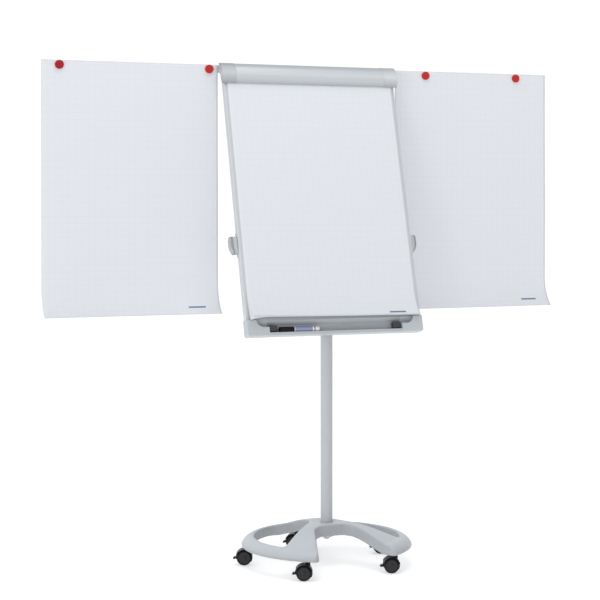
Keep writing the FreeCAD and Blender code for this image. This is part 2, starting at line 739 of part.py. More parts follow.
def paper_pad():
    curl_start = PAD_TOP - (PAD_LENGTH - PAD_CURL_LENGTH)
    front = -0.4 - PAD_THICK
    turn = PAD_CURL_LENGTH / PAD_CURL_RADIUS
    wire = curled_outline(front, -0.4, PAD_TOP, curl_start, PAD_CURL_RADIUS, turn)
    pad = Part.Face(wire).extrude(V(PAPER_WIDTH, 0, 0))
    pad.translate(V(-PAPER_WIDTH / 2, 0, 0))
    holes = [rod(V(x, -6, 1022), V(x, 2, 1022), 3.6) for x in (-150, 150)]
    return lean(cut(pad, holes))


SHEET_CURL_RADIUS = 150


def hanging_sheet(side):
    front = ARM_FACE - 0.3 - SHEET_THICK
    turn = SHEET_CURL_LENGTH / SHEET_CURL_RADIUS
    curl_drop = SHEET_CURL_RADIUS * math.sin(turn)
    curl_start = SHEET_TOP - (SHEET_DROP - curl_drop)
    wire = curled_outline(front, front + SHEET_THICK, SHEET_TOP, curl_start, SHEET_CURL_RADIUS, turn)
    sheet = Part.Face(wire).extrude(V(PAPER_WIDTH, 0, 0))
    inner = SHEET_INNER[side]
    sheet.translate(V(inner if side == "right" else -inner - PAPER_WIDTH, 0, 0))
    return sheet


# ---- side arms ----
def arm_bracket():
    """Right-hand bracket: a foot on the back of the top profile with two lugs round the pin."""
    foot = box(322, 346, 185, 210, ARM_LOW - 11, ARM_HIGH + 5.5)
    lugs = []
    for z0, z1 in ((ARM_LOW - 5.5, ARM_LOW - 0.4), (ARM_HIGH + 0.4, ARM_HIGH + 5.5)):
        tongue = box(PIN_X - 6.5, PIN_X + 6.5, 205, PIN_Y, z0, z1)
        lugs.append(tongue.fuse(Part.makeCylinder(6.5, z1 - z0, V(PIN_X, PIN_Y, z0))))
    bracket = fuse([foot] + lugs)
    board_room = lean(box(280, 400, -60, 27.2, 900, 1041))
    hinge_room = lean(box(280, 400, -60, 29.6, 1030, 1060))
    pin_hole = Part.makeCylinder(PIN_R + 0.02, 60, V(PIN_X, PIN_Y, ARM_LOW - 15))
    return cut(bracket, [board_room, hinge_room, pin_hole])


def arm_pins():
    pins = []
    for x in (-PIN_X, PIN_X):
        shank = Part.makeCylinder(PIN_R, ARM_HIGH - ARM_LOW + 12, V(x, PIN_Y, ARM_LOW - 6))
        head = Part.makeCylinder(5, 1.8, V(x, PIN_Y, ARM_HIGH + 5.7))
        pins.append(shank.fuse(head))
    return Part.makeCompound(pins)


def side_arm():
    """Right-hand arm: a flat steel bar with a rolled eye at its pin."""
    eye = Part.makeCylinder(6.4, ARM_HIGH - ARM_LOW, V(PIN_X, PIN_Y, ARM_LOW))
    bar = box(PIN_X, ARM_REACH, ARM_FACE, ARM_FACE + ARM_THICK, ARM_LOW, ARM_HIGH)
    bar = bar.makeFillet(13, edges_along(bar, V(0, 1, 0), lambda p: p.x > 900))
    neck = box(PIN_X - 3, PIN_X + 5, ARM_FACE, PIN_Y, ARM_LOW, ARM_HIGH)
    hole = Part.makeCylinder(PIN_R + RUN, 80, V(PIN_X, PIN_Y, ARM_LOW - 20))
    return fuse([eye, neck, bar]).cut(hole)


def magnet(x):
    back = ARM_FACE - 0.3 - SHEET_THICK - 0.2
    disc = rod(V(x, back, MAGNET_Z), V(x, back - MAGNET_THICK, MAGNET_Z), MAGNET_R)
    rim = [e for e in disc.Edges if e.BoundBox.YMax < back - MAGNET_THICK + 0.1]
    return disc.makeFillet(3, rim)


# ---- marker ----
MARKER_Y = 1.5
MARKER_Z = 22.2


def marker_body():
    start = MARKER_LEFT + MARKER_CAP
    barrel = rod(V(start, MARKER_Y, MARKER_Z), V(MARKER_RIGHT, MARKER_Y, MARKER_Z), 10)
    barrel = barrel.makeFillet(2, [e for e in barrel.Edges if e.BoundBox.XMin > MARKER_RIGHT - 0.1])
    neck = rod(V(start - 26, MARKER_Y, MARKER_Z), V(start, MARKER_Y, MARKER_Z), 7)
    nib = rod(V(start - 40, MARKER_Y, MARKER_Z), V(start - 26, MARKER_Y, MARKER_Z), 3)
    return fuse([barrel, neck, nib])


def marker_cap():
    end = MARKER_LEFT + MARKER_CAP - 0.3
    cap = rod(V(MARKER_LEFT, MARKER_Y, MARKER_Z), V(end, MARKER_Y, MARKER_Z), 11)
    cap = cap.makeFillet(2, [e for e in cap.Edges if e.BoundBox.XMax < MARKER_LEFT + 0.1])
    room = rod(V(MARKER_LEFT + 8, MARKER_Y, MARKER_Z), V(end + 1, MARKER_Y, MARKER_Z), 7 + RUN)
    return cap.cut(room)


# ---- assembly ----
def both_sides(name, shape):
    return {f"{name}_right": shape, f"{name}_left": mirror_x(shape)}


def all_pieces():
    pieces = {
        "base_casting": base_casting(),
        "hub_plate": hub_plate(),
        "hub_bolts": hub_bolts(),
        "column_tube": column_tube(),
        "column_cap": column_cap(),
        "lower_guide_block": guide_block("lower"),
        "upper_guide_block": guide_block("upper"),
        "guide_liners": guide_liners(),
        "spine_plate": spine_plate(),
        "spine_screws": spine_screws(),
        "cross_rails": cross_rails(),
        "shaft_bearings": shaft_bearings(),
        "release_shaft": release_shaft(),
        "whiteboard_panel": lean(whiteboard_panel()),
        "top_profile": lean(top_profile()),
        "bottom_profile": lean(bottom_profile()),
        "pen_tray": lean(pen_tray()),
        "tray_stops": tray_stops(),
        "clamp_cover": lean(clamp_cover()),
        "hinge_rod": lean(hinge_rod()),
        "pad_pins": pad_pins(),
        "paper_pad": paper_pad(),
        "arm_pins": arm_pins(),
        "sheet_left": hanging_sheet("left"),
        "sheet_right": hanging_sheet("right"),
        "marker_body": lean(marker_body()),
        "marker_cap": lean(marker_cap()),
    }
    pieces.update(casters())
    pieces.update(both_sides("release_handle", lean(release_handle())))
    pieces.update(both_sides("side_profile", lean(side_profile())))
    pieces.update(both_sides("tray_corner", lean(tray_corner())))
    pieces.update(both_sides("top_corner", lean(top_corner())))
    pieces.update(both_sides("clamp_cap", lean(clamp_cap())))
    pieces.update(both_sides("arm_bracket", arm_bracket()))
    pieces.update(both_sides("side_arm", side_arm()))
    for place, x in MAGNET_X.items():
        pieces[f"magnet_{place}"] = magnet(x)
    return pieces


def footprint_middle(pieces):
    bounds = FreeCAD.BoundBox()
    for shape in pieces.values():
        bounds.add(shape.optimalBoundingBox(False))
    return V(bounds.Center.x, bounds.Center.y, 0)


PIECES = all_pieces()
ORIGIN = footprint_middle(PIECES)

os.makedirs("parts", exist_ok=True)
for node, shape in PIECES.items():
    shape.translate(-ORIGIN)
    shape.exportStep(f"parts/{node}.step")
print("pieces:", len(PIECES), "origin moved by:", tuple(round(v, 3) for v in -ORIGIN))
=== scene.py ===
"""Looks of the flipchart easel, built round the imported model.

Metres, in the model's own frame: +X to the reader's right, -Y towards the reader, +Z up.
Sizes are written in millimetres and pass through standing() or board().
"""
import json
import math

import bmesh
import bpy
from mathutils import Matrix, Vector, noise


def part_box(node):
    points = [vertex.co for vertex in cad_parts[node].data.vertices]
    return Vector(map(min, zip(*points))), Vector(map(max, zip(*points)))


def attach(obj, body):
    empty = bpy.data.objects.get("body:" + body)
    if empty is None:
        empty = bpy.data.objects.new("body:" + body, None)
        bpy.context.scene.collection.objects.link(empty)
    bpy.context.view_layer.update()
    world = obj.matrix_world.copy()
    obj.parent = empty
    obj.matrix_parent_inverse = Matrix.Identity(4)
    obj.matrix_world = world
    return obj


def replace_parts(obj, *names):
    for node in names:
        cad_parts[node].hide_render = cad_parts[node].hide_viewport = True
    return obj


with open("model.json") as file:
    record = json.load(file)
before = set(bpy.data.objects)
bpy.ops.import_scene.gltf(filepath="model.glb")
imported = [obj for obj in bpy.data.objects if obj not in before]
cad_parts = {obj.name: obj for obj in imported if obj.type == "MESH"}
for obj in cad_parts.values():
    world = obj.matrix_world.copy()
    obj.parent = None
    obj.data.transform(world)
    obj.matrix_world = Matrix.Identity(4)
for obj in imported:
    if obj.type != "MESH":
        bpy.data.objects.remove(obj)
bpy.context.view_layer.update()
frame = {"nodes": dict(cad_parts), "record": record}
NODES = frame["nodes"]

# ---- places ----
MM = 0.001
LEAN = math.radians(15.2)
TUBE_RADIUS = 22.5
tube_low, tube_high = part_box("column_tube")
COLUMN_X = (tube_low.x + tube_high.x) / 2
COLUMN_Y = tube_low.y + TUBE_RADIUS * MM
BOARD_FOOT_Y, BOARD_FOOT_Z = -96, 868


def standing(x, y, z):
    """A point measured from the column's axis on the floor."""
    return Vector((COLUMN_X + x * MM, COLUMN_Y + y * MM, z * MM))


def board(x, y, up):
    """A point in the board's own axes: y into the board, up its slope from the tray's foot."""
    return standing(x, BOARD_FOOT_Y + y * math.cos(LEAN) + up * math.sin(LEAN),
                    BOARD_FOOT_Z - y * math.sin(LEAN) + up * math.cos(LEAN))


# ---- materials ----
def ramp_of(tree, factor, low, high, start=0.3, end=0.7):
    ramp = tree.nodes.new("ShaderNodeValToRGB")
    ramp.color_ramp.elements[0].position = start
    ramp.color_ramp.elements[0].color = (*low, 1)
    ramp.color_ramp.elements[1].position = end
    ramp.color_ramp.elements[1].color = (*high, 1)
    tree.links.new(factor, ramp.inputs["Fac"])
    return ramp.outputs["Color"]


def stretched(tree, stretch):
    """Object coordinates, squeezed along the axes where a pattern is long."""
    coordinate = tree.nodes.new("ShaderNodeTexCoord")
    mapping = tree.nodes.new("ShaderNodeMapping")
    mapping.inputs["Scale"].default_value = stretch
    tree.links.new(coordinate.outputs["Object"], mapping.inputs["Vector"])
    return mapping.outputs["Vector"]


def noise_of(tree, vector, scale, detail=3.0, roughness=0.55):
    texture = tree.nodes.new("ShaderNodeTexNoise")
    texture.inputs["Scale"].default_value = scale
    texture.inputs["Detail"].default_value = detail
    texture.inputs["Roughness"].default_value = roughness
    tree.links.new(vector, texture.inputs["Vector"])
    return texture.outputs["Fac"]


def math_of(tree, operation, first, second=0.0, third=0.0):
    node = tree.nodes.new("ShaderNodeMath")
    node.operation = operation
    for socket, value in zip(node.inputs, (first, second, third)):
        if isinstance(value, (int, float)):
            socket.default_value = value
        else:
            tree.links.new(value, socket)
    return node.outputs["Value"]


def colour_mix(tree, first, second):
    """Colour mix node and its result; first and second are colour triples or sockets."""
    node = tree.nodes.new("ShaderNodeMix")
    node.data_type = "RGBA"
    sockets = [socket for socket in node.inputs if socket.type == "RGBA"]
    for socket, value in zip(sockets, (first, second)):
        if isinstance(value, tuple):
            socket.default_value = (*value, 1)
        else:
            tree.links.new(value, socket)
    result = [socket for socket in node.outputs if socket.type == "RGBA"][0]
    return node, result


def mixed(tree, factor, low, high):
    """Colour that goes from low to high with the factor."""
    node, result = colour_mix(tree, low, high)
    tree.links.new(factor, node.inputs["Factor"])
    return result


def multiplied(tree, first, second):
    """Product of two colours."""
    node, result = colour_mix(tree, first, second)
    node.blend_type = "MULTIPLY"
    node.inputs["Factor"].default_value = 1.0
    return result


def bump_of(tree, height, distance):
    node = tree.nodes.new("ShaderNodeBump")
    node.inputs["Distance"].default_value = distance
    tree.links.new(height, node.inputs["Height"])
    return node.outputs["Normal"]


def shade(colour, factor):
    return tuple(channel * factor for channel in colour)


class Finish:
    """Recipe of a moulded, painted or drawn surface: mottled colour, grain and bump."""

    def __init__(self, colour, roughness, mottle=0.04, grain=600, bump=0.00004, stretch=(1, 1, 1),
                 metallic=0.0, coat=0.0, specular=0.5, shade_reach=0.0, shade_bands=(), top_light_tones=()):
        self.colour = colour
        self.roughness = roughness
        self.mottle = mottle
        self.grain = grain
        self.bump = bump
        self.stretch = stretch
        self.metallic = metallic
        self.coat = coat
        self.specular = specular
        self.shade_reach = shade_reach
        self.shade_bands = shade_bands
        self.top_light_tones = top_light_tones

    def make(self, name):
        material = bpy.data.materials.new(name)
        material.use_nodes = True
        tree = material.node_tree
        shader = tree.nodes["Principled BSDF"]
        vector = stretched(tree, self.stretch)
        fine = noise_of(tree, vector, self.grain)
        broad = noise_of(tree, vector, 9.0, 5.0)
        spots = math_of(tree, "ADD", math_of(tree, "MULTIPLY", fine, 0.45),
                        math_of(tree, "MULTIPLY", broad, 0.55))
        colour = ramp_of(tree, spots, shade(self.colour, 1 - self.mottle),
                         shade(self.colour, 1 + self.mottle))
        if self.shade_reach:
            colour = self.paint_recess_shade(tree, colour)
        if self.shade_bands:
            colour = self.paint_shade_bands(tree, colour)
        if self.top_light_tones:
            colour = self.paint_top_light(tree, colour)
        roughness = math_of(tree, "MULTIPLY_ADD", spots, 0.16, self.roughness - 0.08)
        tree.links.new(colour, shader.inputs["Base Color"])
        tree.links.new(roughness, shader.inputs["Roughness"])
        tree.links.new(bump_of(tree, fine, self.bump), shader.inputs["Normal"])
        shader.inputs["Metallic"].default_value = self.metallic
        shader.inputs["Coat Weight"].default_value = self.coat
        shader.inputs["Specular IOR Level"].default_value = self.specular
        return material

    def paint_shade_bands(self, tree, colour):
        """Paints light and shade up the board's slope as tones on the colour; the bands are (mm up the
        board, tone) pairs.
        """
        slope = Vector((0, math.sin(LEAN), math.cos(LEAN)))
        height = tree.nodes.new("ShaderNodeVectorMath")
        height.operation = "DOT_PRODUCT"
        height.inputs[1].default_value = slope
        coordinate = tree.nodes.new("ShaderNodeTexCoord")
        tree.links.new(coordinate.outputs["Object"], height.inputs[0])
        lowest, highest = self.shade_bands[0][0], self.shade_bands[-1][0]
        low, high = [board(0, 0, up).dot(slope) for up in (lowest, highest)]
        above = math_of(tree, "SUBTRACT", height.outputs["Value"], low)
        share = math_of(tree, "DIVIDE", above, high - low)
        ramp = tree.nodes.new("ShaderNodeValToRGB")
        tree.links.new(share, ramp.inputs["Fac"])
        stops = ramp.color_ramp.elements
        while len(stops) < len(self.shade_bands):
            stops.new(0.5)
        for stop, (up, tone) in zip(stops, self.shade_bands):
            stop.position = (up - lowest) / (highest - lowest)
            stop.color = (tone, tone, tone, 1)
        return multiplied(tree, colour, ramp.outputs["Color"])

    def paint_top_light(self, tree, colour):
        """Paints light on surfaces that face up and shade on the walls; the tones are (tone on walls, tone
        on tops).
        """
        facing = tree.nodes.new("ShaderNodeNewGeometry")
        split = tree.nodes.new("ShaderNodeSeparateXYZ")
        tree.links.new(facing.outputs["Normal"], split.inputs["Vector"])
        walls, tops = [(tone, tone, tone) for tone in self.top_light_tones]
        return multiplied(tree, colour, ramp_of(tree, split.outputs["Z"], walls, tops, 0.1, 0.9))

    def paint_recess_shade(self, tree, colour):
        """Paints shade in narrow places: the colour dulls where ambient occlusion finds surfaces close by.
        """
        occlusion = tree.nodes.new("ShaderNodeAmbientOcclusion")
        occlusion.inputs["Distance"].default_value = self.shade_reach
        occlusion.samples = 8
        return mixed(tree, occlusion.outputs["AO"], shade(self.colour, 0.55), colour)


ALONG_X = (0.04, 1, 1)
ALONG_Z = (1, 1, 0.04)
# Painted light and shade on the clamp and its caps: a bright band where the curved front faces the light,
# darker bands at its top and bottom.
CLAMP_SHADE_BANDS = ((966, 0.50), (972, 0.66), (985, 0.84), (1004, 1.03), (1022, 0.90), (1044, 0.645),
               (1056, 0.60))
FINISHES = {
    "grey_paint": Finish((0.495, 0.520, 0.545), 0.42, grain=420, bump=0.00006, coat=0.05),
    "zinc_steel": Finish((0.50, 0.51, 0.53), 0.32, metallic=0.9, grain=300),
    "dark_plastic": Finish((0.055, 0.060, 0.065), 0.5, mottle=0.10, grain=900),
    "black_plastic": Finish((0.003, 0.003, 0.005), 0.36, mottle=0.2, grain=900, specular=0.22),
    "wheel_plastic": Finish((0.004, 0.004, 0.006), 0.45, mottle=0.2, grain=1200, specular=0.22),
    "wheel_face": Finish((0.012, 0.012, 0.016), 0.32, mottle=0.15, grain=900, specular=0.35),
    "grey_steel": Finish((0.53, 0.56, 0.585), 0.45, grain=500, bump=0.00005),
    "liner_plastic": Finish((0.66, 0.66, 0.64), 0.5, grain=500),
    "aluminium_clamp": Finish((0.66, 0.695, 0.72), 0.36, metallic=0.25, grain=900, bump=0.00002,
                              stretch=ALONG_X, mottle=0.03, shade_bands=CLAMP_SHADE_BANDS),
    "clamp_cap": Finish((0.545, 0.57, 0.595), 0.46, grain=800, bump=0.00005, shade_bands=CLAMP_SHADE_BANDS),
    # Painted light and shade on the base: tops paler, walls darker.
    "base_paint": Finish((0.445, 0.470, 0.495), 0.42, grain=420, bump=0.00006, coat=0.05,
                         top_light_tones=(0.83, 1.27)),
    # Painted light: the right cap is the same plastic as clamp_cap, painted paler.
    "clamp_cap_lit": Finish((0.62, 0.65, 0.675), 0.46, grain=800, bump=0.00005, shade_bands=CLAMP_SHADE_BANDS),
    "column_paint": Finish((0.468, 0.484, 0.505), 0.42, grain=420, bump=0.00006, coat=0.05),
    # Painted shade in the narrow places of the long profiles and the pen tray.
    "aluminium_long": Finish((0.50, 0.53, 0.555), 0.42, metallic=0.3, grain=900, bump=0.00002,
                             stretch=ALONG_X, mottle=0.03, shade_reach=0.030),
    "aluminium_tray": Finish((0.50, 0.53, 0.555), 0.45, metallic=0.2, grain=900, bump=0.00002,
                             stretch=ALONG_X, mottle=0.03, shade_reach=0.035),
    "aluminium_tall": Finish((0.65, 0.672, 0.69), 0.40, metallic=0.3, grain=900, bump=0.00002,
                             stretch=ALONG_Z, mottle=0.03),
    "grey_plastic": Finish((0.50, 0.53, 0.555), 0.46, grain=800, bump=0.00005),
    "white_enamel": Finish((0.80, 0.82, 0.83), 0.18, mottle=0.01, grain=60, bump=0.00001, coat=0.4),
    "red_magnet": Finish((0.50, 0.022, 0.018), 0.42, mottle=0.08, grain=700, specular=0.25, coat=0.1),
    # Painted shade: the same red as red_magnet, darker for the left outer button.
    "red_magnet_shaded": Finish((0.38, 0.012, 0.018), 0.45, mottle=0.12, grain=700, specular=0.2),
    "marker_white": Finish((0.78, 0.79, 0.80), 0.35, mottle=0.02, grain=500),
    "marker_black": Finish((0.003, 0.003, 0.005), 0.36, mottle=0.2, grain=900, specular=0.25),
    "marker_blue": Finish((0.30, 0.33, 0.55), 0.38, mottle=0.08, grain=900),
    "marker_grey": Finish((0.26, 0.28, 0.30), 0.4, mottle=0.06, grain=900),
    "handle_side": Finish((0.50, 0.53, 0.56), 0.5, mottle=0.05, grain=900),
    "handle_rim": Finish((0.28, 0.295, 0.31), 0.5, mottle=0.08, grain=900),
    "handle_dish": Finish((0.47, 0.495, 0.515), 0.5, mottle=0.05, grain=900),
}
MATERIALS = {name: finish.make(name) for name, finish in FINISHES.items()}


# ---- paper's printed squares ----
SQUARE_PITCH = 0.0254
SQUARE_LINE = 0.0011


def line_mask(tree, coordinate):
    """1 on the printed lines across one coordinate, 0 between them."""
    phase = math_of(tree, "FRACT", math_of(tree, "DIVIDE", coordinate, SQUARE_PITCH))
    distance = math_of(tree, "ABSOLUTE", math_of(tree, "SUBTRACT", phase, 0.5))
    return math_of(tree, "GREATER_THAN", distance, 0.5 - SQUARE_LINE / SQUARE_PITCH / 2)


MARK_ACROSS = (0.555, 0.622)    # plain printed bar in the sheet's lower right corner
MARK_ABOVE_EDGE = (0.031, 0.038)


def between(tree, value, low, high):
    """1 where the value lies between low and high, else 0."""
    return math_of(tree, "MULTIPLY", math_of(tree, "GREATER_THAN", value, low),
                   math_of(tree, "LESS_THAN", value, high))


def paper_material(name, squares=True):
    """Fibrous white paper, with printed squares and a plain bar where squares is true."""
    material = bpy.data.materials.new(name)
    material.use_nodes = True
    tree = material.node_tree
    shader = tree.nodes["Principled BSDF"]
    vector = stretched(tree, (1, 1, 1))
    fibre = noise_of(tree, vector, 260.0, 6.0, 0.7)
    cloud = noise_of(tree, vector, 5.0, 3.0)
    sheet = mixed(tree, fibre, (0.727, 0.746, 0.780), (0.757, 0.776, 0.810))
    sheet = mixed(tree, cloud, sheet, (0.742, 0.761, 0.795))
    if squares:
        place = tree.nodes.new("ShaderNodeUVMap")
        place.uv_map = "paper"
        split = tree.nodes.new("ShaderNodeSeparateXYZ")
        tree.links.new(place.outputs["UV"], split.inputs["Vector"])
        across = line_mask(tree, split.outputs["X"])
        along = line_mask(tree, split.outputs["Y"])
        lines = math_of(tree, "MULTIPLY", math_of(tree, "MAXIMUM", across, along), 0.36)
        sheet = mixed(tree, lines, sheet, (0.62, 0.67, 0.73))
        bar = math_of(tree, "MULTIPLY", between(tree, split.outputs["X"], *MARK_ACROSS),
                      between(tree, split.outputs["Y"], *MARK_ABOVE_EDGE))
        sheet = mixed(tree, bar, sheet, (0.17, 0.23, 0.35))
    tree.links.new(sheet, shader.inputs["Base Color"])
    roughness = math_of(tree, "MULTIPLY_ADD", fibre, 0.1, 0.78)
    tree.links.new(roughness, shader.inputs["Roughness"])
    tree.links.new(bump_of(tree, fibre, 0.00003), shader.inputs["Normal"])
    shader.inputs["Specular IOR Level"].default_value = 0.2
    return material


def page_edge_material(name):
    """Side of a stack: thin page lines across its thickness."""
    material = bpy.data.materials.new(name)
    material.use_nodes = True
    tree = material.node_tree
    shader = tree.nodes["Principled BSDF"]
    layers = noise_of(tree, stretched(tree, (40, 3000, 40)), 1.0, 2.0)
    colour = ramp_of(tree, layers, (0.62, 0.63, 0.64), (0.84, 0.85, 0.86))
    tree.links.new(colour, shader.inputs["Base Color"])
    roughness = math_of(tree, "MULTIPLY_ADD", layers, 0.1, 0.8)
    tree.links.new(roughness, shader.inputs["Roughness"])
    tree.links.new(bump_of(tree, layers, 0.0001), shader.inputs["Normal"])
    return material


MATERIALS["paper_squared"] = paper_material("paper_squared")
MATERIALS["paper_plain"] = paper_material("paper_plain", squares=False)
MATERIALS["page_edges"] = page_edge_material("page_edges")

SLOT_FINISH = {
    "silver_aluminium": "aluminium_long",
    "paper": "paper_plain",
}
NODE_FINISH = {
    "base_casting": "base_paint",
    "clamp_cover": "aluminium_clamp",
    "clamp_cap_left": "clamp_cap",
    "clamp_cap_right": "clamp_cap_lit",
    "column_tube": "column_paint",
    "pen_tray": "aluminium_tray",
    "side_profile_left": "aluminium_tall",
    "side_profile_right": "aluminium_tall",
    "magnet_left_outer": "red_magnet_shaded",
}


def dress_nodes():
    """Every carried-over CAD node gets its slot's material."""
    for part in frame["record"]["subparts"]:
        node = part["node"]
        finish = NODE_FINISH.get(node, SLOT_FINISH.get(part["material_slot"], part["material_slot"]))
        mesh = NODES[node].data
        mesh.materials.clear()
        mesh.materials.append(MATERIALS[finish])


dress_nodes()


# ---- mesh helpers ----
def add_piece(name, mesh, body, materials):
    """Puts a mesh in the scene on a CAD body and materials."""
    for finish in materials:
        mesh.materials.append(MATERIALS[finish])
    mesh.polygons.foreach_set("use_smooth", [True] * len(mesh.polygons))
    piece = bpy.data.objects.new(name, mesh)
    bpy.context.scene.collection.objects.link(piece)
    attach(piece, body)
    return piece


def paper_grid(name, place, width, length, columns, rows, print_shift=0.0):
    """A sheet's mesh. place(u, v) gives the point u across and v down from its upper left corner."""
    mesh = bpy.data.meshes.new(name)
    points = []
    for row in range(rows + 1):
        for column in range(columns + 1):
            points.append(place(width * column / columns, length * row / rows))
    faces = []
    for row in range(rows):
        for column in range(columns):
            corner = row * (columns + 1) + column
            faces.append((corner, corner + columns + 1, corner + columns + 2, corner + 1))
    mesh.from_pydata(points, [], faces)
    layer = mesh.uv_layers.new(name="paper")
    for loop in mesh.loops:
        row, column = divmod(loop.vertex_index, columns + 1)
        layer.data[loop.index].uv = (width * column / columns, length * (rows - row) / rows + print_shift)
    return mesh


def thicken(piece, thickness):
    """Gives a bare sheet its thickness, half on each side, and returns the modifier."""
    solid = piece.modifiers.new("thickness", "SOLIDIFY")
    solid.thickness = thickness
    solid.offset = 0.0
    return solid


# ---- paper ----
PAPER_WIDTH = 0.680
SHEET_FRONT_Y = 214.35
SHEET_TOP = 1876
SHEET_LENGTH = 0.954
SHEET_CURL = 0.125
SHEET_THICKNESS = 0.0003
SHEET_WAVE = 0.004
SHEET_RIPPLE = 0.0015
CORNER_SHARE = 0.022    # share of the width over which a flattened left corner fades out


def curl_radius(share, left, right, droop=0.0):
    """Radius of a curled lower edge between its corners; droop flattens the left corner alone."""
    return left + (right - left) * share + droop * math.exp(-share / CORNER_SHARE)


def curled(v, start, radius):
    """(drop, forward) of a point v down a sheet that hangs straight to start and then curls."""
    if v <= start:
        return v, 0.0
    turn = (v - start) / radius
    return start + radius * math.sin(turn), radius * (1 - math.cos(turn))


def hanging_place(left_x, left_radius, right_radius, seed):
    """place() of a side sheet. The wave starts below the bar, so the paper stays clear of it."""

    def place(u, v):
        share = u / PAPER_WIDTH
        radius = curl_radius(share, left_radius, right_radius)
        drop, forward = curled(v, SHEET_LENGTH - SHEET_CURL, radius)
        slack = max(0.0, min(1.0, (v - 0.05) / 0.5))
        wave = noise.noise(Vector((u * 3.1 + seed, v * 1.3, seed))) * SHEET_WAVE * slack
        ripple = math.sin(u * 9.0 + seed) * SHEET_RIPPLE * slack * slack
        point = standing(left_x, SHEET_FRONT_Y, SHEET_TOP)
        return point + Vector((u, wave - abs(wave) - ripple - abs(ripple) - forward, -drop))
    return place


def side_sheet(side, left_x, left_radius, right_radius, seed):
    """A single sheet under two magnets, with its curled lower edge."""
    place = hanging_place(left_x, left_radius, right_radius, seed)
    mesh = paper_grid(f"paper_sheet_{side}", place, PAPER_WIDTH, SHEET_LENGTH, 68, 96)
    piece = add_piece(f"paper_sheet_{side}", mesh, f"arm_{side}", ["paper_squared"])
    thicken(piece, SHEET_THICKNESS)
    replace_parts(piece, f"sheet_{side}")


side_sheet("left", -1037, 0.150, 0.150, 1.7)
side_sheet("right", 384, 0.165, 0.150, 4.2)

PAD_TOP = 1034
PAD_LENGTH = 0.976
PAD_CURL = 0.112
PRINT_SHIFT = 0.0225
PAD_THICKNESS = 0.0034
PAGE_THICKNESS = 0.0002


def pad_place(front, left_radius, right_radius, droop=0.0):
    """place() of a page on the board, whose lower edge curls towards the reader."""

    def place(u, v):
        share = u / PAPER_WIDTH
        radius = curl_radius(share, left_radius, right_radius, droop)
        drop, forward = curled(v, PAD_LENGTH - PAD_CURL, radius)
        return board(u / MM - PAPER_WIDTH / MM / 2, front - forward / MM, PAD_TOP - drop / MM)
    return place


def pad_block():
    """The pad below its loose pages: one thick stack with page lines on its sides."""
    mesh = paper_grid("pad_block", pad_place(-2.2, 0.160, 0.270, 0.25), PAPER_WIDTH, PAD_LENGTH, 68, 98)
    block = add_piece("pad_block", mesh, "board", ["paper_plain", "page_edges"])
    thicken(block, PAD_THICKNESS).material_offset_rim = 1
    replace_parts(block, "paper_pad")


def pad_page(number, front, left_radius, right_radius, droop=0.0):
    """A loose page. Its print sits PRINT_SHIFT off a side sheet's, which has lost its top strip."""
    name = f"pad_page_{number}"
    place = pad_place(front, left_radius, right_radius, droop)
    mesh = paper_grid(name, place, PAPER_WIDTH, PAD_LENGTH, 68, 98, print_shift=PRINT_SHIFT)
    page = add_piece(name, mesh, "board", ["paper_squared"])
    thicken(page, PAGE_THICKNESS)


pad_block()
pad_page(1, -4.1, 0.154, 0.262, 0.22)
pad_page(2, -4.45, 0.148, 0.255)


# ---- turned and moulded pieces ----
def skin(mesh, rings, tints):
    """Joins rings of points into one closed skin; a ring of one point is a pole."""
    form = bmesh.new()
    loops = [[form.verts.new(point) for point in ring] for ring in rings]
    for lower, upper, tint in zip(loops, loops[1:], tints):
        count = max(len(lower), len(upper))
        for k in range(count):
            after = (k + 1) % count
            corners = [lower[k % len(lower)], lower[after % len(lower)],
                       upper[after % len(upper)], upper[k % len(upper)]]
            face = form.faces.new(list(dict.fromkeys(corners)))
            face.material_index = tint
    bmesh.ops.recalc_face_normals(form, faces=form.faces)
    form.to_mesh(mesh)
    form.free()
    return mesh


def turned(name, start, axis, profile, segments=48):
    """Skin turned about an axis; profile rows are (mm along, mm radius, tint of the band above)."""
    side = axis.orthogonal().normalized()
    up = axis.cross(side)
    rings = []
    for along, radius, _ in profile:
        middle = start + axis * along * MM
        if radius == 0:
            rings.append([middle])
            continue
        turns = [math.tau * k / segments for k in range(segments)]
        rings.append([middle + (side * math.cos(t) + up * math.sin(t)) * radius * MM for t in turns])
    return skin(bpy.data.meshes.new(name), rings, [row[2] for row in profile])


def crisp(piece, angle=35):
    """Keeps a moulded piece's sharp turns sharp and the rest smooth."""
    piece.data.set_sharp_from_angle(angle=math.radians(angle))
    return piece


# Profiles for turned(): a domed button with a shallow dish, and the marker's two halves.
MAGNET_PROFILE = ((0, 0, 0), (0, 15.6, 0), (0.7, 16.4, 0), (5.6, 16.4, 0), (6.8, 15.9, 0), (7.6, 14.8, 0),
                  (7.9, 13.4, 0), (7.5, 12.4, 0), (7.0, 11.4, 0), (6.9, 6, 0), (7.1, 0, 0))


def magnet(side):
    node = f"magnet_{side}"
    near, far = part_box(node)
    back = Vector(((near.x + far.x) / 2, far.y, (near.z + far.z) / 2))
    mesh = turned(f"button_{side}", back, Vector((0, -1, 0)), MAGNET_PROFILE)
    # The left outer button takes the darker copy of the red: painted shade.
    finish = "red_magnet_shaded" if side == "left_outer" else "red_magnet"
    piece = crisp(add_piece(f"button_{side}", mesh, node, [finish]), 60)
    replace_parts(piece, node)


for side in ("left_outer", "left_inner", "right_inner", "right_outer"):
    magnet(side)

